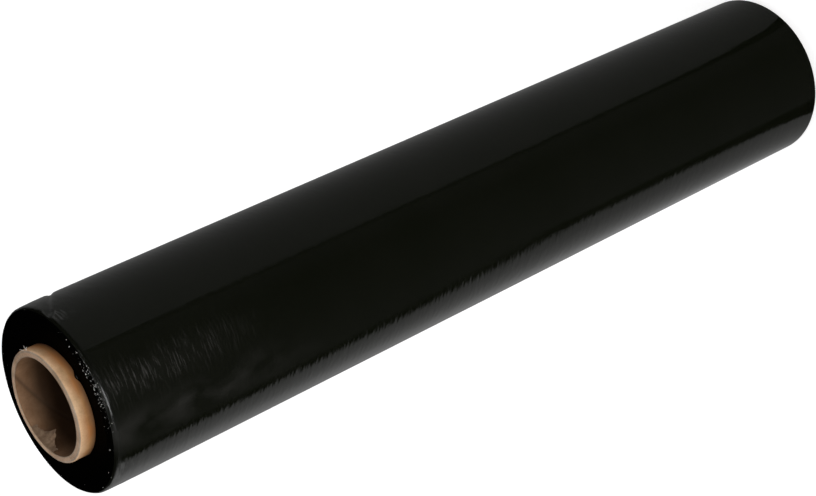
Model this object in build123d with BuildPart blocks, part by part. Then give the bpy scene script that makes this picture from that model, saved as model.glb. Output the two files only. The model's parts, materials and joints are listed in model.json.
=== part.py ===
# Stretch wrap roll: a reel of glossy pallet film wound tight on a paperboard tube.
#
# The roll is two real pieces.  The tube is spiral-wound paperboard, cut square at both
# ends, and the film is one continuous web whose turns cling together into one body.
# The tube is longer than the film is wide, so a ring of bare board stands out of the
# film at each end.  The roll stands on the lower ring: the origin is the ring's centre,
# on the surface that it stands on, and +Z runs up the roll's axis.

import os

from build123d import *

# Driving dimensions, in millimetres.
film_width = 500.0  # width of the web, so the length of the wound body
film_diameter = 95.0  # over the last turn
film_edge_radius = 2.5  # the web necks in as it is wound, which rounds the outer corner
film_rim = 7.0  # the outer turns lie level with each other, in a band this wide
film_dish = 2.0  # inside that band each end face dips to the tube, where the turns are tightest
core_bore = 50.0  # the hole that takes a dispenser's spindle or a hand grip
core_wall = 3.5  # thickness of the glued board plies
core_stand_out = 6.0  # board that stands beyond the film's outer turns at each end
core_edge_radius = 0.4  # the board's cut corners are softened by handling
winding_clearance = 0.0  # the first turn is wound straight on to the board

# Sizes that follow from them.
core_radius = core_bore / 2 + core_wall
core_length = film_width + 2 * core_stand_out
film_bore_radius = core_radius + winding_clearance
film_bottom = core_stand_out
film_top = film_bottom + film_width

# A corner is never rounded by more than this share of the wall that carries it.
largest_rounding = 0.4


def round_corners(edges, radius, wall):
    """Round some edges of the part being built, as far as the wall allows."""
    fillet(edges, min(radius, largest_rounding * wall))


# Paperboard tube: its lower ring is what the roll stands on.
with BuildPart() as core_tube:
    with BuildSketch(Plane.XY):
        Circle(core_radius)
        Circle(core_bore / 2, mode=Mode.SUBTRACT)
    extrude(amount=core_length)
    round_corners(core_tube.edges().filter_by(GeomType.CIRCLE), core_edge_radius, core_wall)
core_tube.part.label = "core_tube"

# Wound film: half of its section, carried once round the axis.  It starts above the
# lower ring, and leaves the same ring bare at the top.
with BuildPart() as film_roll:
    with BuildSketch(Plane.XZ):
        with BuildLine():
            Polyline(
                (film_bore_radius, film_bottom + film_dish),
                (film_diameter / 2 - film_rim, film_bottom),
                (film_diameter / 2, film_bottom),
                (film_diameter / 2, film_top),
                (film_diameter / 2 - film_rim, film_top),
                (film_bore_radius, film_top - film_dish),
                close=True,
            )
        make_face()
    revolve(axis=Axis.Z)
    outer_corners = film_roll.edges().filter_by(GeomType.CIRCLE).sort_by(SortBy.RADIUS)[-2:]
    round_corners(outer_corners, film_edge_radius, film_rim)
film_roll.part.label = "film_roll"

os.makedirs("parts", exist_ok=True)
for piece in (core_tube, film_roll):
    export_step(piece.part, f"parts/{piece.part.label}.step")
    print(piece.part.label, round(piece.part.volume / 1000, 1), "cm3")
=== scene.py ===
# %% [markdown]
# # A roll of stretch wrap
#
# The real object is two pieces. A spiral-wound board tube carries one long web of glossy
# black film, wound so tight that its turns cling into a single body. The tube stands a
# little out of the film at each end.
#
# The lesson takes the pieces in that order of importance: the wound film, which is nearly
# all that shows, then the board, then the small things that make both look handled.
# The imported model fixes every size. This file only gives the pieces their looks.

# %% Load the frame
import json
import math

import bmesh
import bpy
from mathutils import Matrix, Vector, noise


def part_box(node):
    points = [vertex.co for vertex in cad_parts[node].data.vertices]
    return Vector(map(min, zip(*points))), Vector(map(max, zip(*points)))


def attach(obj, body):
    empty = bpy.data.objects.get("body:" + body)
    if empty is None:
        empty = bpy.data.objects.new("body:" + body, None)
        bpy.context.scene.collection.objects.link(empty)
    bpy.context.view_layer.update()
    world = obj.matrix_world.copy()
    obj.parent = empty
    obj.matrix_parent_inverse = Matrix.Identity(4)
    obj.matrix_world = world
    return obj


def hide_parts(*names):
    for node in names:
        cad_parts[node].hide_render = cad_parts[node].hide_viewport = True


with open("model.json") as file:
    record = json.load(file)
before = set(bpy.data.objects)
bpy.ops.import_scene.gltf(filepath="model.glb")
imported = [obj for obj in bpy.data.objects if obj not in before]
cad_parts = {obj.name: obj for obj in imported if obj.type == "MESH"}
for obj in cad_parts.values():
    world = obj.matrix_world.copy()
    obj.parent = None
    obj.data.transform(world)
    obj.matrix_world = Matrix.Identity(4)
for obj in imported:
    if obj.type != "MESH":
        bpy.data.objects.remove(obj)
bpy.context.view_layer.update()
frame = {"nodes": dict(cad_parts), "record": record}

print("CAD nodes:", sorted(frame["nodes"]))

# %% [markdown]
# ## Sizes
#
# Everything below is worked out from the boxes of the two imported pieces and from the
# tube's bore, which the record states. A millimetre is a handy unit for small features,
# so it gets a name of its own.

# %% Read the sizes off the frame
MM = 0.001
film_low, film_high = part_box("film_roll")
board_low, board_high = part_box("core_tube")
film_radius = film_high.x
board_radius = board_high.x
mounts = {mount["name"]: mount for mount in frame["record"]["mounts"]}
bore_radius = mounts["core_bore"]["dims"]["r_mm"] * MM
print(f"film {film_radius / MM:.2f} mm in radius, from {film_low.z / MM:.1f} to {film_high.z / MM:.1f} mm")
print(f"board {board_radius / MM:.2f} mm in radius, bore {bore_radius / MM:.2f} mm")

# %% [markdown]
# ## The camera
#
# A long lens stands well back, so the far end looks only a little smaller than the near
# one. The roll stands on its end, and the camera is rolled on its side, which lays the
# roll across the frame. Three angles say where it looks: down, round, and rolled.

# %% Place the camera
camera_place = Vector((0.0, -0.8902, 0.9101))
look_down = math.radians(34.90)
look_round = math.radians(-0.325)
camera_roll = math.radians(115.28)

forward = Vector(
    (
        math.sin(look_round) * math.cos(look_down),
        math.cos(look_round) * math.cos(look_down),
        -math.sin(look_down),
    )
)
level_right = forward.cross(Vector((0, 0, 1))).normalized()
level_up = level_right.cross(forward)
camera_up = level_up * math.cos(camera_roll) + level_right * math.sin(camera_roll)
camera_right = forward.cross(camera_up)

lens = bpy.data.cameras.new("camera")
lens.sensor_width = 36.0
lens.lens = 91.62
lens.clip_end = 50.0
camera = bpy.data.objects.new("camera", lens)
axes = Matrix((camera_right, camera_up, -forward)).transposed().to_4x4()
camera.matrix_world = Matrix.Translation(camera_place) @ axes
bpy.context.scene.collection.objects.link(camera)
bpy.context.scene.camera = camera
print("camera looks along", [round(value, 3) for value in forward])

# %% [markdown]
# ## A helper for node trees
#
# Materials and Geometry Nodes are both trees of nodes. Written node by node they are long
# to read, so this small class adds one node per call and hands back its output. A value
# that is itself a socket is linked, and a plain number is typed in.


# %% Write trees as steps
class Tree:
    """Adds nodes to one tree. Each method adds a step and returns what comes out of it."""

    def __init__(self, tree):
        self.tree = tree

    def add(self, kind, feeds=None, **settings):
        node = self.tree.nodes.new(kind)
        for name, value in settings.items():
            setattr(node, name, value)
        for key, value in (feeds or {}).items():
            if isinstance(value, bpy.types.NodeSocket):
                self.tree.links.new(value, node.inputs[key])
            else:
                node.inputs[key].default_value = value
        return node

    def math(self, operation, *values):
        return self.add("ShaderNodeMath", dict(enumerate(values)), operation=operation).outputs[0]

    def clamp(self, value):
        return self.add("ShaderNodeClamp", {"Value": value}).outputs[0]

    def ramp(self, value, start, end):
        """0 up to start, 1 from end on, and a straight rise between."""
        rise = self.math("SUBTRACT", value, start)
        return self.clamp(self.math("DIVIDE", rise, self.math("SUBTRACT", end, start)))

    def random(self, low, high, seed):
        """One number for each point, the same on every run."""
        node = self.add("FunctionNodeRandomValue", data_type="FLOAT")
        for name, value in (("Min", low), ("Max", high), ("Seed", seed)):
            socket = next(s for s in node.inputs if s.enabled and s.name == name)
            if isinstance(value, bpy.types.NodeSocket):
                self.tree.links.new(value, socket)
            else:
                socket.default_value = value
        return next(s for s in node.outputs if s.enabled)

    def vector(self, x, y, z):
        return self.add("ShaderNodeCombineXYZ", {0: x, 1: y, 2: z}).outputs[0]

    def split(self, vector):
        return self.add("ShaderNodeSeparateXYZ", {0: vector}).outputs

    def noise(self, place, scale=1.0, detail=2.0, roughness=0.5):
        feeds = {"Vector": place, "Scale": scale, "Detail": detail, "Roughness": roughness}
        return self.add("ShaderNodeTexNoise", feeds).outputs[0]

    def bell(self, value, middle, width):
        """1 where value is at the middle, falling to nearly nothing two widths away."""
        offset = self.math("DIVIDE", self.math("SUBTRACT", value, middle), width)
        return self.math("EXPONENT", self.math("MULTIPLY", self.math("MULTIPLY", offset, offset), -1.0))

    def total(self, *values):
        result = values[0]
        for value in values[1:]:
            result = self.math("ADD", result, value)
        return result

    def product(self, *values):
        result = values[0]
        for value in values[1:]:
            result = self.math("MULTIPLY", result, value)
        return result


print("tree helper ready")

# %% [markdown]
# ## The wound film, as a rule
#
# A roll's shape follows a rule: a cross-section is carried round the axis, and the radius
# grows by one thickness in each turn until the web ends in a loose edge. A cylinder
# primitive has no such edge, and a sculpted one could not be changed later. Geometry
# Nodes can say the rule itself.
#
# The tree starts from a flat grid. Its rows are told to follow the cross-section, and its
# columns go once round. One spare column closes the little step at the loose edge, and
# one spare row closes the inside. Points that then coincide are merged, which leaves one
# closed skin.
#
# On that skin the rule adds what winding under tension leaves: soft bands where the web
# was thicker or thinner, fine ridges that run round the roll, gathers and a crease near
# the top end, and the thin turns that show on the end faces, which dip to the tube.


# %% Start a Geometry Nodes tree with named sizes
def new_shape_tree(name, sizes):
    """A Geometry Nodes tree with one named input for each size, and its Tree helper."""
    group = bpy.data.node_groups.new(name, "GeometryNodeTree")
    sockets = {}
    for label, value in sizes.items():
        kind = "NodeSocketInt" if isinstance(value, int) else "NodeSocketFloat"
        socket = group.interface.new_socket(label, in_out="INPUT", socket_type=kind)
        socket.default_value = value
        sockets[label] = socket.identifier
    group.interface.new_socket("Geometry", in_out="OUTPUT", socket_type="NodeSocketGeometry")
    tree = Tree(group)
    given = tree.add("NodeGroupInput").outputs
    return group, tree, {label: given[label] for label in sizes}, sockets


def finish_tree(tree, geometry, material, selection=True, second=None):
    """Every shape tree ends in real points and its materials."""
    real = tree.add("GeometryNodeRealizeInstances", {"Geometry": geometry})
    painted = tree.add("GeometryNodeSetMaterial", {"Geometry": real.outputs[0], "Material": material})
    if second:
        feeds = {"Geometry": painted.outputs[0], "Selection": selection, "Material": second}
        painted = tree.add("GeometryNodeSetMaterial", feeds)
    tree.add("NodeGroupOutput", {"Geometry": painted.outputs[0]})


def bake_shape(name, group, sockets, sizes):
    """Runs a shape tree once and returns its result as a plain mesh object."""
    carrier = bpy.data.objects.new(name + "_carrier", bpy.data.meshes.new(name + "_carrier"))
    bpy.context.scene.collection.objects.link(carrier)
    modifier = carrier.modifiers.new("shape", "NODES")
    modifier.node_group = group
    for label, value in sizes.items():
        modifier[sockets[label]] = value
    bpy.context.view_layer.update()
    evaluated = carrier.evaluated_get(bpy.context.evaluated_depsgraph_get())
    mesh = bpy.data.meshes.new_from_object(evaluated)
    carrier.modifiers.remove(modifier)
    bpy.data.objects.remove(carrier)
    mesh.name = name
    # Empty material slots are dropped.
    for slot in reversed(range(len(mesh.materials))):
        if mesh.materials[slot] is None:
            mesh.materials.pop(index=slot)
    return show(name, mesh)


def show(name, mesh):
    """Links a mesh as an object and prints its size."""
    piece = bpy.data.objects.new(name, mesh)
    bpy.context.scene.collection.objects.link(piece)
    triangles = sum(len(face.vertices) - 2 for face in mesh.polygons)
    print(f"{name}: {len(mesh.vertices)} points, {triangles} triangles")
    return piece


# %% The sizes of the wound film
film_corner = 2.5 * MM
film_sizes = {
    "Inner Radius": board_radius,
    "Outer Radius": film_radius,
    "Bottom": film_low.z,
    "Top": film_high.z,
    "Outer Corner": film_corner,
    "Level Rim": 7.0 * MM,
    "Dish": 2.0 * MM,
    "Face Rows": 66,
    "Side Rows": 320,
    "Columns": 210,
    "Loose Edge Angle": math.radians(-64.0),
    "Loose Edge Lean": math.radians(-7.0),
    "Loose Edge Step": 0.08 * MM,
    "Band Depth": 0.05 * MM,
    "Ridge Depth": 0.05 * MM,
    "Gather Depth": 0.30 * MM,
    "Rim Wave": 1.1 * MM,
    "Crease Depth": 1.0 * MM,
    "Turn Depth": 0.16 * MM,
    "Lip Height": 1.3 * MM,
    "Seed": 4.3,
}
print(len(film_sizes), "named sizes for the film")


# %% The cross-section, and how the rows share it
def film_outline(tree, size):
    """The cross-section as an open curve, from the lower inside corner round to the upper one."""
    corners = [
        ("Inner Radius", "Bottom"),
        ("Outer Radius", "Bottom"),
        ("Outer Radius", "Top"),
        ("Inner Radius", "Top"),
    ]
    feeds = {f"Point {i + 1}": tree.vector(size[r], 0.0, size[z]) for i, (r, z) in enumerate(corners)}
    outline = tree.add("GeometryNodeCurvePrimitiveQuadrilateral", feeds, mode="POINTS").outputs[0]
    across = tree.split(tree.add("GeometryNodeInputPosition").outputs[0])[0]
    middle = tree.math("MULTIPLY", tree.math("ADD", size["Inner Radius"], size["Outer Radius"]), 0.5)
    outside = tree.math("GREATER_THAN", across, middle)
    inner_corner = 0.3 * MM
    corner_points = 12
    corner = tree.add("ShaderNodeMix", {0: outside, 2: inner_corner, 3: size["Outer Corner"]}).outputs[0]
    feeds = {"Curve": outline, "Radius": corner, "Count": corner_points}
    rounded = tree.add("GeometryNodeFilletCurve", feeds, mode="POLY").outputs[0]
    return tree.add("GeometryNodeSetSplineCyclic", {"Geometry": rounded, "Cyclic": False}).outputs[0]


def row_share(tree, size, row):
    """How far along the outline a row lies. Faces get close rows, and the side's close up towards the top."""
    face_rows, side_rows = size["Face Rows"], size["Side Rows"]
    closing_up = 1.5
    bend = tree.product(size["Outer Corner"], math.pi / 2 - 1)
    face_path = tree.total(tree.math("SUBTRACT", size["Outer Radius"], size["Inner Radius"]), bend)
    height = tree.math("SUBTRACT", size["Top"], size["Bottom"])
    side_path = tree.math("SUBTRACT", height, tree.product(size["Outer Corner"], 2.0))
    first = tree.clamp(tree.math("DIVIDE", row, face_rows))
    past_face = tree.math("SUBTRACT", row, face_rows)
    left = tree.clamp(tree.math("SUBTRACT", 1.0, tree.math("DIVIDE", past_face, side_rows)))
    second = tree.math("SUBTRACT", 1.0, tree.math("POWER", left, closing_up))
    past_side = tree.math("SUBTRACT", past_face, side_rows)
    third = tree.clamp(tree.math("DIVIDE", past_side, tree.math("SUBTRACT", face_rows, 1)))
    path = tree.total(
        tree.product(first, face_path), tree.product(second, side_path), tree.product(third, face_path)
    )
    return tree.math("DIVIDE", path, tree.total(face_path, side_path, face_path))


# %% What winding leaves on the side and on the ends
def side_cut(tree, size, arc, angle, height, wound):
    """How far the side lies inside its true radius."""
    from_top = tree.math("SUBTRACT", size["Top"], height)
    near_top = tree.math("EXPONENT", tree.math("DIVIDE", from_top, -40 * MM))
    band = tree.noise(tree.vector(size["Seed"], 0.0, tree.math("DIVIDE", height, 30 * MM)), detail=1.0)
    ridge_place = tree.vector(
        tree.math("DIVIDE", arc, 30 * MM), size["Seed"], tree.math("DIVIDE", height, 4 * MM)
    )
    ridge = tree.noise(ridge_place, detail=1.5)
    gather_place = tree.vector(
        tree.math("DIVIDE", arc, 13 * MM), size["Seed"], tree.math("DIVIDE", height, 6 * MM)
    )
    gather = tree.noise(gather_place, detail=2.0)
    at_rim = tree.math("EXPONENT", tree.math("DIVIDE", from_top, -5 * MM))
    rim_place = tree.vector(
        tree.math("DIVIDE", arc, 11 * MM), tree.math("DIVIDE", height, 9 * MM), size["Seed"]
    )
    rim_wave = tree.noise(rim_place, detail=2.0)
    crease_start = math.radians(-38.0)
    along_crease = tree.math("SUBTRACT", angle, crease_start)
    crease_depth = tree.total(2 * MM, tree.product(along_crease, 28 * MM))
    crease_gate = tree.product(
        tree.ramp(along_crease, math.radians(-3.0), math.radians(3.0)),
        tree.ramp(along_crease, math.radians(60.0), math.radians(40.0)),
    )
    crease = tree.product(tree.bell(from_top, crease_depth, 1.5 * MM), crease_gate)
    return tree.total(
        tree.product(band, size["Band Depth"]),
        tree.product(ridge, size["Ridge Depth"]),
        tree.product(gather, size["Gather Depth"], near_top),
        tree.product(rim_wave, size["Rim Wave"], at_rim),
        tree.product(tree.math("SUBTRACT", 1.0, wound), size["Loose Edge Step"]),
        tree.product(crease, size["Crease Depth"]),
    )


def face_cut(tree, size, radius, angle, wound, on_face):
    """How far an end face lies below the crest of the outer turns."""
    level_from = tree.math("SUBTRACT", size["Outer Radius"], size["Level Rim"])
    dish = tree.product(tree.ramp(radius, level_from, size["Inner Radius"]), size["Dish"])
    fine_place = tree.math("ADD", tree.math("DIVIDE", radius, 0.55 * MM), wound)
    fine = tree.noise(tree.vector(fine_place, size["Seed"], 0.0), detail=1.0)
    # Sine and cosine come back to where they started, so the first and last columns agree.
    # The lip below is a bell made from a cosine for the same reason.
    broad_place = tree.vector(
        tree.math("DIVIDE", radius, 3.5 * MM),
        tree.math("ADD", tree.math("COSINE", angle), size["Seed"]),
        tree.math("SINE", angle),
    )
    broad = tree.noise(broad_place, detail=2.0)
    turns = tree.product(tree.total(fine, broad), size["Turn Depth"], on_face)
    lip_angle = math.radians(283.0)
    lip_spread = math.radians(4.5)
    away = tree.math("SUBTRACT", tree.math("COSINE", tree.math("SUBTRACT", angle, lip_angle)), 1.0)
    lip_round = tree.math("EXPONENT", tree.product(away, 2 / lip_spread**2))
    lip_across = tree.bell(radius, size["Inner Radius"], 1.1 * MM)
    lip = tree.product(lip_round, lip_across, size["Lip Height"])
    return tree.math("SUBTRACT", tree.total(dish, turns), lip)


# %% Turn the grid into a wound body
def wind_film(tree, size):
    """The closed skin of the wound film, and which of its faces are on the ends."""
    rows = tree.total(size["Face Rows"], size["Face Rows"], size["Side Rows"])
    columns = size["Columns"]
    per_row = tree.math("ADD", columns, 2)
    grid_feeds = {"Vertices X": tree.math("ADD", rows, 1), "Vertices Y": per_row}
    grid = tree.add("GeometryNodeMeshGrid", grid_feeds).outputs["Mesh"]
    index = tree.add("GeometryNodeInputIndex").outputs[0]
    row = tree.math("FLOOR", tree.math("DIVIDE", tree.math("ADD", index, 0.5), per_row))
    column = tree.math("SUBTRACT", index, tree.math("MULTIPLY", row, per_row))
    round_once = tree.math("MINIMUM", tree.math("DIVIDE", column, columns), 1.0)
    wound_column = tree.math("FLOORED_MODULO", column, tree.math("ADD", columns, 1))
    wound = tree.math("DIVIDE", wound_column, columns)

    # Each row reads its place and direction off the outline.
    share = row_share(tree, size, tree.math("FLOORED_MODULO", row, rows))
    sample_feeds = {"Curves": film_outline(tree, size), "Factor": share}
    sample = tree.add("GeometryNodeSampleCurve", sample_feeds, mode="FACTOR", use_all_curves=True)
    radius, _, height = tree.split(sample.outputs["Position"])
    out_x, _, out_z = tree.split(sample.outputs["Tangent"])
    on_side = tree.math("MAXIMUM", out_z, 0.0)
    on_face = tree.math("ABSOLUTE", out_x)

    # The loose edge leans a little, so the angle depends on the height too.
    width = tree.math("SUBTRACT", size["Top"], size["Bottom"])
    up = tree.math("DIVIDE", tree.math("SUBTRACT", height, size["Bottom"]), width)
    start = tree.math("ADD", size["Loose Edge Angle"], tree.math("MULTIPLY", up, size["Loose Edge Lean"]))
    angle = tree.math("ADD", start, tree.math("MULTIPLY", round_once, 2 * math.pi))
    unwound = tree.math("ADD", start, tree.math("MULTIPLY", wound, 2 * math.pi))
    arc = tree.math("MULTIPLY", unwound, size["Outer Radius"])

    side = side_cut(tree, size, arc, angle, height, wound)
    face = face_cut(tree, size, radius, angle, wound, on_face)
    upper_half = tree.math("SIGN", tree.math("SUBTRACT", up, 0.5))
    final_radius = tree.math("SUBTRACT", radius, tree.math("MULTIPLY", side, on_side))
    final_height = tree.math("SUBTRACT", height, tree.math("MULTIPLY", face, upper_half))
    place = tree.vector(
        tree.math("MULTIPLY", final_radius, tree.math("COSINE", angle)),
        tree.math("MULTIPLY", final_radius, tree.math("SINE", angle)),
        final_height,
    )
    map_feeds = {"Geometry": grid, "Name": "unrolled", "Value": tree.vector(arc, height, radius)}
    with_map = tree.add(
        "GeometryNodeStoreNamedAttribute", map_feeds, data_type="FLOAT_VECTOR", domain="POINT"
    )
    moved = tree.add("GeometryNodeSetPosition", {"Geometry": with_map.outputs[0], "Position": place})
    merge_feeds = {"Geometry": moved.outputs[0], "Distance": 0.001 * MM}
    merged = tree.add("GeometryNodeMergeByDistance", merge_feeds).outputs[0]
    outward = tree.add("GeometryNodeFlipFaces", {"Mesh": merged}).outputs[0]
    smooth = tree.add("GeometryNodeSetShadeSmooth", {"Geometry": outward, "Shade Smooth": True}).outputs[0]

    facing_up = 0.8
    normal_up = tree.split(tree.add("GeometryNodeInputNormal").outputs[0])[2]
    on_end = tree.math("GREATER_THAN", tree.math("ABSOLUTE", normal_up), facing_up)
    return smooth, on_end


print("film rule ready")

# %% [markdown]
# ## The film's finish
#
# Stretch film is clear gloss over black pigment. Nearly all that the eye gets from the
# side is reflection, so the base colour is close to nothing and the work is in the
# roughness and in the bump. Both follow the unrolled film: the streaks run round the
# roll, as the stretching did. The attribute "unrolled" holds that place: metres round,
# metres up, and metres out from the axis.
#
# The end faces are another matter. There the light falls between thousands of thin edges
# and does not come back, so the ends get a finish of their own with almost no gloss.


# %% Start a material
def new_material(name):
    """A material with an empty tree, its Tree helper and its surface shader."""
    material = bpy.data.materials.new(name)
    material.use_nodes = True
    material.node_tree.nodes.clear()
    tree = Tree(material.node_tree)
    surface = tree.add("ShaderNodeBsdfPrincipled")
    output = tree.add("ShaderNodeOutputMaterial")
    material.node_tree.links.new(surface.outputs[0], output.inputs["Surface"])
    return material, tree, surface


def connect(tree, surface, label, value):
    tree.tree.links.new(value, surface.inputs[label])


def bump(tree, surface, height, distance, strength=1.0):
    feeds = {"Strength": strength, "Distance": distance, "Height": height}
    connect(tree, surface, "Normal", tree.add("ShaderNodeBump", feeds).outputs[0])


def colour_between(tree, share, first, second):
    """A colour between two, by how much share is. Either may be a socket."""
    node = tree.tree.nodes.new("ShaderNodeMix")
    node.data_type = "RGBA"
    sockets = {s.name: s for s in node.inputs if s.enabled}
    tree.tree.links.new(share, sockets["Factor"])
    for name, value in (("A", first), ("B", second)):
        if isinstance(value, bpy.types.NodeSocket):
            tree.tree.links.new(value, sockets[name])
        else:
            sockets[name].default_value = (*value, 1.0)
    return next(s for s in node.outputs if s.enabled)


# %% Gloss film
def make_film_material():
    material, tree, surface = new_material("stretch_film")
    place = tree.add("ShaderNodeAttribute", attribute_name="unrolled").outputs["Vector"]
    around, up, _ = tree.split(place)

    # Fine lines that run round the roll, and short waves across them.
    streak_place = tree.vector(tree.math("DIVIDE", around, 40 * MM), tree.math("DIVIDE", up, 0.9 * MM), 0.0)
    streaks = tree.noise(streak_place, detail=3.0, roughness=0.6)
    wave_place = tree.vector(tree.math("DIVIDE", around, 6 * MM), tree.math("DIVIDE", up, 1.8 * MM), 5.3)
    waves = tree.noise(wave_place, detail=1.0)
    wide_place = tree.vector(tree.math("DIVIDE", around, 60 * MM), tree.math("DIVIDE", up, 30 * MM), 3.0)
    wide = tree.noise(wide_place, detail=2.0)

    # Two rubbed places near the top end, where hands and pallets touch it first: one is
    # a run of fine scratches, the other a soft haze. Their whitish colour is partly that
    # wear and partly painted sheen.
    from_top = tree.math("SUBTRACT", film_high.z, up)
    scratched = tree.product(
        tree.ramp(from_top, 95 * MM, 30 * MM),
        tree.bell(around, math.radians(264.0) * film_radius, 8 * MM),
    )
    dash_place = tree.vector(tree.math("DIVIDE", around, 7 * MM), tree.math("DIVIDE", up, 0.8 * MM), 9.3)
    dashes = tree.ramp(tree.noise(dash_place, detail=2.0), 0.52, 0.74)
    hazed = tree.product(
        tree.ramp(from_top, 125 * MM, 60 * MM),
        tree.bell(around, math.radians(237.0) * film_radius, 8 * MM),
    )
    patch_place = tree.vector(tree.math("DIVIDE", around, 12 * MM), tree.math("DIVIDE", up, 22 * MM), 2.4)
    patches = tree.ramp(tree.noise(patch_place, detail=2.0), 0.36, 0.62)
    scratches_and_sheen = tree.product(scratched, tree.total(0.12, dashes))
    scuffs_and_sheen = tree.clamp(tree.total(scratches_and_sheen, tree.product(hazed, patches, 0.42)))

    pigment = colour_between(tree, wide, (0.0026, 0.0032, 0.0014), (0.0042, 0.0046, 0.0028))
    # Whitish where scuffed: partly scuff wear, partly painted sheen.
    connect(tree, surface, "Base Color", colour_between(tree, scuffs_and_sheen, pigment, (0.030, 0.029, 0.026)))
    corner_wear = tree.ramp(from_top, 5 * MM, 1 * MM)
    rough = tree.total(
        0.04, tree.product(streaks, 0.06), tree.product(scuffs_and_sheen, 0.25), tree.product(corner_wear, 0.22)
    )
    connect(tree, surface, "Roughness", rough)
    bump(tree, surface, tree.total(tree.product(streaks, 0.5), tree.product(waves, 1.2)), 0.10 * MM)
    surface.inputs["IOR"].default_value = 1.5
    return material


film_material = make_film_material()
print("side finish ready")


# %% Stacked edges of the film
def make_end_material():
    material, tree, surface = new_material("stretch_film_ends")
    place = tree.add("ShaderNodeAttribute", attribute_name="unrolled").outputs["Vector"]
    around, _, out = tree.split(place)
    turn_place = tree.vector(tree.math("DIVIDE", out, 0.25 * MM), tree.math("DIVIDE", around, 90 * MM), 1.0)
    turns = tree.noise(turn_place, detail=2.0)
    colour = colour_between(tree, turns, (0.0003, 0.0003, 0.0002), (0.0012, 0.0012, 0.0009))
    connect(tree, surface, "Base Color", colour)
    connect(tree, surface, "Roughness", tree.total(0.55, tree.product(turns, 0.2)))
    bump(tree, surface, turns, 0.05 * MM)
    surface.inputs["Specular IOR Level"].default_value = 0.008
    return material


end_material = make_end_material()
print("end finish ready")

# %% Make the film
group, tree, size, sockets = new_shape_tree("wound_film", film_sizes)
skin, on_end = wind_film(tree, size)
finish_tree(tree, skin, film_material, on_end, end_material)
film = bake_shape("wound_film", group, sockets, film_sizes)
film.data.set_sharp_from_angle(angle=math.radians(50.0))
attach(film, "root")
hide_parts("film_roll")
print("finishes on the film:", [material.name for material in film.data.materials])

# %% [markdown]
# ## Frayed shreds on the rim
#
# The knife that slit the web to width left pale shreds of film along its edge. They
# gather on the rim where the roll has been set down and dragged. Their pale colour is
# partly the shreds' own and partly painted glints along the frayed rim. There are over a
# hundred of them, so a tree scatters them: most in one patch, a few all the way round.

# %% The sizes of the shreds
shred_sizes = {
    "Count": 170,
    "Patch Share": 0.85,
    "Patch Angle": math.radians(-91.0),
    "Patch Width": math.radians(24.0),
    "Low Radius": 40.6 * MM,
    "High Radius": 46.8 * MM,
    "Film Radius": film_radius,
    "Film Top": film_high.z,
    "Film Corner": film_corner,
    "Size": 0.24 * MM,
    "Seed": 11,
}
print(shred_sizes["Count"], "shreds wanted")


# %% Scatter shreds over the rim
def scatter_shreds(tree, size):
    seed = size["Seed"]
    points = tree.add("GeometryNodePoints", {"Count": size["Count"]}).outputs[0]
    spread = tree.total(*(tree.random(-1.0, 1.0, tree.math("ADD", seed, i)) for i in range(3)))
    in_patch = tree.math("ADD", size["Patch Angle"], tree.product(spread, size["Patch Width"], 0.5))
    anywhere = tree.random(-math.pi, math.pi, tree.math("ADD", seed, 3))
    chosen = tree.math("LESS_THAN", tree.random(0.0, 1.0, tree.math("ADD", seed, 4)), size["Patch Share"])
    angle = tree.add("ShaderNodeMix", {0: chosen, 2: anywhere, 3: in_patch}).outputs[0]
    inwards = tree.random(0.0, 1.0, tree.math("ADD", seed, 5))
    band = tree.math("SUBTRACT", size["High Radius"], size["Low Radius"])
    radius = tree.math("SUBTRACT", size["High Radius"], tree.product(band, inwards, inwards))

    # The rim is level and then turns down round its corner.
    corner = size["Film Corner"]
    flat_until = tree.math("SUBTRACT", size["Film Radius"], corner)
    over = tree.math("MAXIMUM", tree.math("SUBTRACT", radius, flat_until), 0.0)
    squares = tree.math("SUBTRACT", tree.product(corner, corner), tree.product(over, over))
    corner_low = tree.math("SUBTRACT", size["Film Top"], corner)
    height = tree.math("ADD", corner_low, tree.math("SQRT", squares))
    place = tree.vector(
        tree.math("MULTIPLY", radius, tree.math("COSINE", angle)),
        tree.math("MULTIPLY", radius, tree.math("SINE", angle)),
        height,
    )
    placed = tree.add("GeometryNodeSetPosition", {"Geometry": points, "Position": place}).outputs[0]
    shred = tree.add("GeometryNodeMeshIcoSphere", {"Radius": size["Size"], "Subdivisions": 1}).outputs[0]
    turn = tree.vector(*(tree.random(-math.pi, math.pi, tree.math("ADD", seed, i)) for i in (6, 7, 8)))
    chance = tree.random(0.0, 1.0, tree.math("ADD", seed, 9))
    grow = tree.total(0.35, tree.product(chance, chance, chance, 1.2))
    slim = tree.vector(grow, tree.product(grow, 0.8), tree.product(grow, 0.6))
    feeds = {"Points": placed, "Instance": shred, "Rotation": turn, "Scale": slim}
    return tree.add("GeometryNodeInstanceOnPoints", feeds).outputs[0]


def make_shred_and_glint_material():
    material, tree, surface = new_material("shreds_and_painted_glints")
    place = tree.add("ShaderNodeTexCoord").outputs["Object"]
    shade = tree.ramp(tree.noise(place, scale=900.0, detail=2.0), 0.35, 0.65)
    # Pale: partly the shreds' own colour, partly painted glints.
    connect(tree, surface, "Base Color", colour_between(tree, shade, (0.25, 0.25, 0.24), (0.85, 0.85, 0.82)))
    surface.inputs["Roughness"].default_value = 0.35
    return material


# %% Make the shreds
group, tree, size, sockets = new_shape_tree("rim_shreds", shred_sizes)
finish_tree(tree, scatter_shreds(tree, size), make_shred_and_glint_material())
shreds = bake_shape("rim_shreds", group, sockets, shred_sizes)
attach(shreds, "root")

# %% [markdown]
# ## The board tube
#
# The tube is wound from strips of board. At the cut end the plies show as thin rings, the
# outer corner is worn round, and each strip's edge shows as a slanting line inside the
# bore. A tree could make it too, but the tube is a plain turned shape, so it is turned on
# a lathe in code: an outline of rings, closer together where there is something to see.

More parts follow.
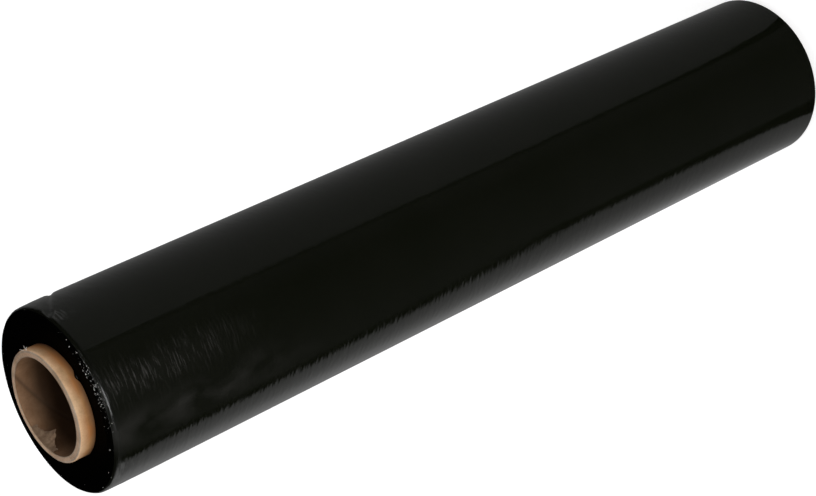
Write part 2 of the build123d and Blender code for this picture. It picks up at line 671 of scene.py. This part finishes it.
# %% The outline of one end
# The depths are in millimetres below the end, and lie further apart the deeper they are.
worn_corner = 1.1 * MM
ply_count = 7
wall_depths = [30, 14, 10, 8, 6.5, 5, 3.8, 2.8, 1.9]
bore_depths = [0.5, 1.2, 2.2, 3.5, 5, 7, 9.5, 12.5, 16, 20, 25, 31, 38, 48, 62, 85, 120, 180]


def end_outline():
    """Radius and depth below the end, from the outer wall over the cut face and down the bore."""
    outline = [(board_radius, depth * MM) for depth in wall_depths]
    for step in range(7):
        turn = math.radians(15.0 * step)
        inwards = worn_corner * (1 - math.cos(turn))
        outline.append((board_radius - inwards, worn_corner * (1 - math.sin(turn))))
    first = board_radius - worn_corner
    last = bore_radius + 0.3 * MM
    ply = (first - last) / ply_count
    for count in range(ply_count):
        groove = first - ply * (count + 0.75)
        outline.append((groove + 0.25 * ply, 0.0))
        outline.append((groove, 0.10 * MM))
        outline.append((groove - 0.12 * ply, 0.02 * MM))
    outline.append((bore_radius + 0.1 * MM, 0.08 * MM))
    outline += [(bore_radius, depth * MM) for depth in bore_depths]
    return outline


upper = [(radius, board_high.z - depth) for radius, depth in end_outline()]
lower = [(radius, board_low.z + depth) for radius, depth in reversed(end_outline())]
board_rings = upper + lower
print(len(board_rings), "rings in the tube's outline")


# %% Turn an outline into a closed skin
def waviness(x, y, z, scale):
    return noise.noise(Vector((x, y, z)) / scale)


def soften_board(radius, height, turn):
    """Small dents, all cut into the board: a cut end is never quite flat, nor a wall quite round."""
    x, y = radius * math.cos(turn), radius * math.sin(turn)
    dent = 0.5 + 0.5 * waviness(x, y, height, 9 * MM)
    pit = 0.5 + 0.5 * waviness(x, y, height, 1.6 * MM)
    end = board_high.z if height > board_high.z / 2 else board_low.z
    near_end = math.exp(-abs(end - height) / (2 * MM))
    inwards = 0.16 * MM * dent + 0.05 * MM * pit
    is_bore = radius < bore_radius + 0.05 * MM
    radius += inwards if is_bore else -inwards
    away = -1 if height > board_high.z / 2 else 1
    height += away * near_end * (0.10 * MM * dent + 0.07 * MM * pit)
    return radius, height


def lathe(name, rings, columns, material, shape):
    """Carries a closed outline of (radius, height) once round the axis."""
    points = []
    for radius, height in rings:
        for column in range(columns):
            turn = 2 * math.pi * column / columns
            r, h = shape(radius, height, turn)
            points.append((r * math.cos(turn), r * math.sin(turn), h))
    faces = []
    for i in range(len(rings)):
        after = (i + 1) % len(rings)
        for j in range(columns):
            beside = (j + 1) % columns
            near, far = i * columns, after * columns
            faces.append((near + j, near + beside, far + beside, far + j))
    mesh = bpy.data.meshes.new(name)
    mesh.from_pydata(points, [], faces)
    mesh.materials.append(material)
    mesh.polygons.foreach_set("use_smooth", [True] * len(faces))
    mesh.set_sharp_from_angle(angle=math.radians(40.0))
    return show(name, mesh)


# %% [markdown]
# ## The board's finish
#
# Unbleached board is warm and mottled with fibres. The outer wall is smooth liner and the
# warmest. A cut end shows torn fibre, which is paler and greyer. The bore is darker, and
# from about a centimetre down it darkens further with depth, which is painted shade.


# %% Board
def make_board_material():
    material, tree, surface = new_material("core_board")
    place = tree.add("ShaderNodeTexCoord").outputs["Object"]
    x, y, z = tree.split(place)
    normal_up = tree.split(tree.add("ShaderNodeNewGeometry").outputs["Normal"])[2]
    radius = tree.math("SQRT", tree.total(tree.product(x, x), tree.product(y, y)))
    below_top = tree.math("SUBTRACT", board_high.z, z)
    depth = tree.math("MINIMUM", below_top, tree.math("SUBTRACT", z, board_low.z))

    blotch = tree.ramp(tree.noise(place, scale=110.0, detail=3.0, roughness=0.6), 0.30, 0.70)
    fibre = tree.noise(place, scale=1400.0, detail=3.0, roughness=0.7)
    mottle = tree.clamp(tree.total(tree.product(blotch, 0.7), tree.product(fibre, 0.6), -0.15))

    # The strips' edges climb round the tube as a slanting line.
    strip = 95 * MM
    round_share = tree.product(tree.math("ARCTAN2", y, x), 1 / (2 * math.pi))
    climb = tree.math("FLOORED_MODULO", tree.total(tree.math("DIVIDE", z, strip), round_share), 1.0)
    seam = tree.bell(climb, 0.5, 0.012)

    warm = tree.ramp(tree.noise(place, scale=75.0, detail=1.0), 0.42, 0.60)
    liner = colour_between(tree, mottle, (0.37, 0.150, 0.038), (0.66, 0.35, 0.140))
    liner = colour_between(tree, tree.product(warm, 0.8), liner, (0.58, 0.22, 0.055))
    # The outer corner is painted pale, partly rubbed wear and partly painted highlight on the
    # round edge, and painted shade darkens the corner where film meets board.
    rubbed_and_lit = tree.ramp(depth, 5.4 * MM, 1.2 * MM)
    patchy = tree.total(0.15, tree.product(blotch, 0.35), tree.product(fibre, 0.6))
    liner = colour_between(tree, tree.product(rubbed_and_lit, patchy), liner, (0.96, 0.68, 0.42))
    # Painted shade where the film meets the board.
    painted_junction_shade = tree.ramp(depth, 5.0 * MM, 8.5 * MM)
    liner = colour_between(tree, painted_junction_shade, liner, (0.13, 0.052, 0.018))
    fibre_end = colour_between(tree, mottle, (0.24, 0.17, 0.115), (0.66, 0.51, 0.39))
    inside = colour_between(tree, mottle, (0.19, 0.088, 0.034), (0.42, 0.245, 0.135))
    # Painted shade: the bore darkens with depth below the mouth.
    painted_bore_shade = tree.ramp(depth, 1 * MM, 13 * MM)
    inside = colour_between(tree, tree.product(painted_bore_shade, 0.92), inside, (0.050, 0.020, 0.003))
    in_bore = tree.ramp(radius, bore_radius + 0.6 * MM, bore_radius + 0.3 * MM)
    wall = colour_between(tree, in_bore, liner, inside)
    on_end = tree.ramp(tree.math("ABSOLUTE", normal_up), 0.55, 0.85)
    colour = colour_between(tree, on_end, wall, fibre_end)
    dark_line = tree.product(seam, 0.55, tree.math("SUBTRACT", 1.0, on_end))
    connect(tree, surface, "Base Color", colour_between(tree, dark_line, colour, (0.06, 0.03, 0.012)))

    height = tree.total(tree.product(fibre, 0.5), tree.product(blotch, 0.5), tree.product(seam, -1.5))
    bump(tree, surface, height, 0.12 * MM, 0.7)
    connect(tree, surface, "Roughness", tree.total(0.62, tree.product(fibre, 0.3)))
    return material


board_material = make_board_material()
print("board finish ready")

# %% Make the tube
board = lathe("board_tube", board_rings, 200, board_material, soften_board)
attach(board, "root")
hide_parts("core_tube")

# %% [markdown]
# ## The torn ply and the fibres
#
# Inside the upper mouth a strip of the innermost ply has torn and curls into the bore. It
# is a sheet with two sides, so its front and back are two grids, a ply's thickness apart,
# joined round the edge. Across the mouth, on the outer corner, three paper fibres stand up.

# %% The torn strip's own sizes
tear_from = math.radians(-167.0)
tear_to = math.radians(-124.0)
tear_depth = 7.0 * MM
tear_curl = 5.2 * MM
tear_below_end = 0.45 * MM
tear_off_wall = 0.02 * MM
ply_thickness = 0.35 * MM
tear_columns = 40
tear_rows = 14
print(f"the tear spans {math.degrees(tear_to - tear_from):.0f} degrees")


# %% Shape the torn strip
def tear_point(across, down, inwards):
    """A point of the strip. The angle is measured from -Y towards +X, as seen from above."""
    angle = tear_from + across * (tear_to - tear_from)
    ragged = 0.16 * noise.noise(Vector((across * 17.0, 0.0, 0.0)))
    reach = tear_depth * (0.38 + 0.62 * math.exp(-(((across - 0.50) / 0.24) ** 2)) + ragged)
    curl = tear_curl * down**1.8 * math.exp(-(((across - 0.56) / 0.17) ** 2))
    ripple = 0.25 * MM * down * math.sin(across * 19.0)
    radius = bore_radius - tear_off_wall - curl - abs(ripple) - inwards
    height = board_high.z - tear_below_end - down * reach
    return (radius * math.sin(angle), -radius * math.cos(angle), height)


def torn_strip():
    grids = []
    for inwards in (0.0, ply_thickness):
        for i in range(tear_rows):
            for j in range(tear_columns):
                grids.append(tear_point(j / (tear_columns - 1), i / (tear_rows - 1), inwards))
    return grids


def close_two_grids(name, points, rows, columns, material):
    """A closed skin from a back grid and a front grid of the same size."""
    back = rows * columns
    faces = []
    for i in range(rows - 1):
        for j in range(columns - 1):
            a, b = i * columns + j, i * columns + j + 1
            c, d = b + columns, a + columns
            faces.append((a, b, c, d))
            faces.append((back + d, back + c, back + b, back + a))
    edge = list(range(columns))
    edge += [i * columns + columns - 1 for i in range(1, rows)]
    edge += [(rows - 1) * columns + j for j in range(columns - 2, -1, -1)]
    edge += [i * columns for i in range(rows - 2, 0, -1)]
    for a, b in zip(edge, edge[1:] + edge[:1]):
        faces.append((b, a, back + a, back + b))
    mesh = bpy.data.meshes.new(name)
    mesh.from_pydata(points, [], faces)
    mesh.materials.append(material)
    shape = bmesh.new()
    shape.from_mesh(mesh)
    bmesh.ops.recalc_face_normals(shape, faces=shape.faces)
    shape.to_mesh(mesh)
    shape.free()
    mesh.polygons.foreach_set("use_smooth", [True] * len(mesh.polygons))
    mesh.set_sharp_from_angle(angle=math.radians(45.0))
    return show(name, mesh)


def make_torn_material():
    material, tree, surface = new_material("torn_board")
    place = tree.add("ShaderNodeTexCoord").outputs["Object"]
    fibre = tree.noise(place, scale=500.0, detail=3.0, roughness=0.6)
    shade = tree.ramp(fibre, 0.30, 0.70)
    connect(tree, surface, "Base Color", colour_between(tree, shade, (0.20, 0.12, 0.07), (0.34, 0.23, 0.145)))
    bump(tree, surface, fibre, 0.06 * MM, 0.6)
    surface.inputs["Roughness"].default_value = 0.85
    return material


torn_material = make_torn_material()
torn = close_two_grids("torn_ply", torn_strip(), tear_rows, tear_columns, torn_material)
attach(torn, "root")


# %% A tuft of paper fibres
def make_fibre_material():
    material, tree, surface = new_material("paper_fibres")
    place = tree.add("ShaderNodeTexCoord").outputs["Object"]
    shade = tree.noise(place, scale=1500.0, detail=2.0)
    connect(tree, surface, "Base Color", colour_between(tree, shade, (0.62, 0.56, 0.50), (0.88, 0.84, 0.80)))
    surface.inputs["Roughness"].default_value = 0.8
    return material


# Each fibre has how far it springs out, in millimetres, and how far it leans as it goes.
fibres = [(3.2, 0.6), (2.6, -0.9), (1.8, 2.0)]
fibre_steps = 5
fibre_root = 1.2 * MM
tuft_angle = 75.0
tuft_spacing = 2.0


def fibre_tuft(name, material):
    """Fibres that spring out of the tube's outer corner, as bevelled curves made into one mesh."""
    curve = bpy.data.curves.new(name, "CURVE")
    curve.dimensions = "3D"
    curve.bevel_depth = 0.24 * MM
    curve.bevel_resolution = 1
    curve.use_fill_caps = True
    for step, (spring, lean) in enumerate(fibres):
        angle = math.radians(tuft_angle + tuft_spacing * step)
        spline = curve.splines.new("POLY")
        spline.points.add(fibre_steps)
        for i, point in enumerate(spline.points):
            share = i / fibre_steps
            bend = math.radians(lean * 5.0 * share * share)
            radius = board_radius - fibre_root + spring * MM * share
            height = board_high.z - (1.5 - 1.2 * math.sin(share * 2.2)) * MM
            place = (radius * math.sin(angle + bend), -radius * math.cos(angle + bend), height)
            point.co = (*place, 1.0)
            point.radius = 1.0 - 0.6 * share
    carrier = bpy.data.objects.new(name + "_curve", curve)
    bpy.context.scene.collection.objects.link(carrier)
    evaluated = carrier.evaluated_get(bpy.context.evaluated_depsgraph_get())
    mesh = bpy.data.meshes.new_from_object(evaluated)
    bpy.data.objects.remove(carrier)
    mesh.name = name
    mesh.materials.clear()
    mesh.materials.append(material)
    return show(name, mesh)


tuft = fibre_tuft("fibre_tuft", make_fibre_material())
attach(tuft, "root")

# %% [markdown]
# ## The stage
#
# A black gloss body has no colour of its own to light. What it shows is a picture of the
# studio round it, so the studio is planned as a picture. The eye sees a pale floor. The
# reflections see cards instead: a glow that is strongest at the back left, a dark opening
# in front with a black edge, and standing panels that give a low view something to catch.


# %% Cards and glowing finishes
def flat_card(name, corners, height, material):
    mesh = bpy.data.meshes.new(name)
    mesh.from_pydata([(x, y, height) for x, y in corners], [], [tuple(range(len(corners)))])
    mesh.materials.append(material)
    card = bpy.data.objects.new(name, mesh)
    bpy.context.scene.collection.objects.link(card)
    return card


def glow(name, level):
    material = bpy.data.materials.new(name)
    material.use_nodes = True
    material.node_tree.nodes.clear()
    tree = Tree(material.node_tree)
    light = tree.add("ShaderNodeEmission", {"Color": (1, 1, 1, 1), "Strength": level})
    tree.add("ShaderNodeOutputMaterial", {"Surface": light.outputs[0]})
    return material


def glow_round(name, levels):
    """A glow that changes with the direction from the roll, in degrees from -Y towards +X.

    A new colour ramp has two stops already, and they take the first two levels.
    """
    material = glow(name, 1.0)
    tree = Tree(material.node_tree)
    x, y, _ = tree.split(tree.add("ShaderNodeTexCoord").outputs["Object"])
    direction = tree.math("ARCTAN2", x, tree.math("MULTIPLY", y, -1.0))
    share = tree.math("ADD", tree.math("DIVIDE", direction, 2 * math.pi), 0.5)
    scale = tree.add("ShaderNodeValToRGB", {"Fac": share})
    stops = scale.color_ramp.elements
    for (degrees, level), stop in zip(levels, [stops[0], stops[1]] + [None] * len(levels)):
        place = degrees / 360 + 0.5
        stop = stop or stops.new(place)
        stop.position = place
        stop.color = (level, level, level, 1.0)
    light = next(node for node in tree.tree.nodes if node.type == "EMISSION")
    tree.tree.links.new(scale.outputs[0], light.inputs["Color"])
    return material


def seen_only_by(card, rays):
    """Hides a card from every kind of ray but the ones named."""
    for kind in ("camera", "diffuse", "glossy", "transmission", "shadow"):
        setattr(card, "visible_" + kind, kind in rays)


# %% Floor and backdrop
def make_floor_material():
    material, tree, surface = new_material("pale_floor")
    place = tree.add("ShaderNodeTexCoord").outputs["Object"]
    cloud = tree.noise(place, scale=1.5, detail=2.0)
    connect(tree, surface, "Base Color", colour_between(tree, cloud, (0.86, 0.86, 0.86), (0.90, 0.90, 0.90)))
    surface.inputs["Roughness"].default_value = 0.9
    surface.inputs["Specular IOR Level"].default_value = 0.1
    surface.inputs["Emission Color"].default_value = (1, 1, 1, 1)
    surface.inputs["Emission Strength"].default_value = 0.72
    return material


reach = 6.0
backdrop_height = 9.0
whole = [(-reach, -reach), (reach, -reach), (reach, reach), (-reach, reach)]
floor = flat_card("floor", whole, 0.0, make_floor_material())
seen_only_by(floor, ("camera", "diffuse", "transmission", "shadow"))


def standing_card(name, direction, distance, width, height, level):
    """An upright card that faces the roll. The direction is in degrees from -Y towards +X."""
    angle = math.radians(direction)
    out = Vector((math.sin(angle), -math.cos(angle), 0.0))
    side = Vector((-out.y, out.x, 0.0))
    centre = out * distance
    feet = [centre - side * width / 2, centre + side * width / 2]
    corners = [*feet, feet[1] + Vector((0, 0, height)), feet[0] + Vector((0, 0, height))]
    mesh = bpy.data.meshes.new(name)
    mesh.from_pydata(corners, [], [(0, 1, 2, 3)])
    mesh.materials.append(glow(name, level))
    card = bpy.data.objects.new(name, mesh)
    bpy.context.scene.collection.objects.link(card)
    return card


for number in range(4):
    wall = standing_card(f"backdrop_{number}", 90.0 * number, reach, 2 * reach, backdrop_height, level=1.0)
    seen_only_by(wall, ("camera",))
print("floor and backdrop placed")

# %% Cards that only reflections see
# A level is a direction and a brightness. The black card and the front card each have a
# left edge with one bend and a straight right edge, and their other corners lie far off.
glow_levels = [(-180, 0.15), (180, 0.15), (-135, 0.45), (-90, 0.27), (40, 0.11), (140, 0.17)]
front_levels = [(-60, 0.045), (180, 0.05), (10, 0.015), (40, 0.05)]
glow_card = flat_card("glow_card", whole, -3 * MM, glow_round("glow_card", glow_levels))
black_corners = [(-0.03, -0.03), (-0.3, -0.06), (-4.0, 1.4), (-4.0, -5.2), (4.0, -5.2), (0.03, -0.04)]
black_card = flat_card("black_card", black_corners, -2 * MM, glow("black_card", 0.0))
front_corners = [(-0.03, -0.04), (-0.3, -0.12), (-4.0, 0.8), (-4.0, -5.2), (3.6, -5.2), (0.02, -0.04)]
front_card = flat_card("front_card", front_corners, -1 * MM, glow_round("front_card", front_levels))
panel_distance = 1.4
panel_height = 0.5
panels = [
    standing_card("left_panel", -118.0, panel_distance, 0.6, panel_height, level=0.8),
    standing_card("right_panel", 96.0, panel_distance, 0.5, panel_height, level=0.5),
    standing_card("back_panel", 172.0, panel_distance, 0.4, panel_height, level=0.55),
]
for card in (glow_card, black_card, front_card, *panels):
    seen_only_by(card, ("glossy",))
print("reflection cards placed")


# %% Lights
def softbox(name, place, aim, width, height, power):
    light = bpy.data.lights.new(name, "AREA")
    light.shape = "RECTANGLE"
    light.size = width
    light.size_y = height
    light.energy = power
    lamp = bpy.data.objects.new(name, light)
    lamp.location = place
    lamp.rotation_euler = (Vector(aim) - Vector(place)).to_track_quat("-Z", "Y").to_euler()
    bpy.context.scene.collection.objects.link(lamp)
    return lamp


top_of_roll = (0.0, 0.0, 0.5)
softbox("overhead", (0.0, 0.3, 2.6), top_of_roll, width=1.6, height=1.6, power=5.0)
softbox("key", (-0.72, -1.54, 0.95), top_of_roll, width=0.9, height=0.4, power=12.0)

world = bpy.data.worlds.new("studio")
bpy.context.scene.world = world
world.use_nodes = True
world.node_tree.nodes["Background"].inputs["Color"].default_value = (1, 1, 1, 1)
world.node_tree.nodes["Background"].inputs["Strength"].default_value = 0.35
world.cycles_visibility.glossy = False
bpy.context.scene.view_settings.view_transform = "Standard"
print("lights placed")
